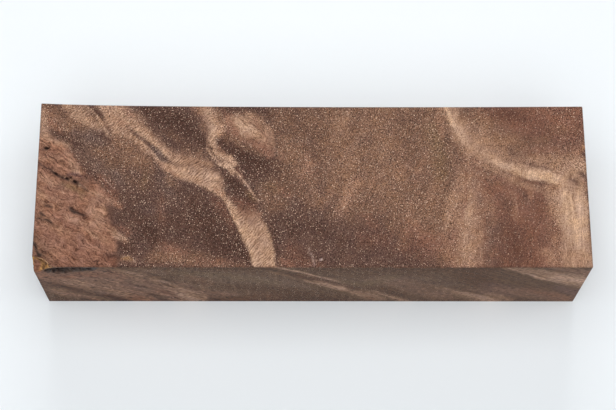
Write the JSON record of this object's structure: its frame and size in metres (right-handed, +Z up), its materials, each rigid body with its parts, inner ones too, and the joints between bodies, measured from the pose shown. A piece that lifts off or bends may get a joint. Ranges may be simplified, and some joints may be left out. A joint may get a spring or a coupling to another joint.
{
  "type": "wood block",
  "caption": "Rectangular block of resin-stabilized walnut burl with sawn faces, fine cracks and one broken corner; a blank for handles and turned or carved work.",
  "frame": {"origin": "middle of the underside's outline, on the surface the block rests on", "axes": "+X along the block's length, from the burl end to the plain end; +Z up, from the underside to the top face; the front face looks towards -Y"},
  "size_m": [0.14, 0.0444, 0.0302],
  "materials": {
    "walnut_burl": "satin"
  },
  "bodies": {
    "root": {"block": "walnut_burl"}
  },
  "joints": []
}
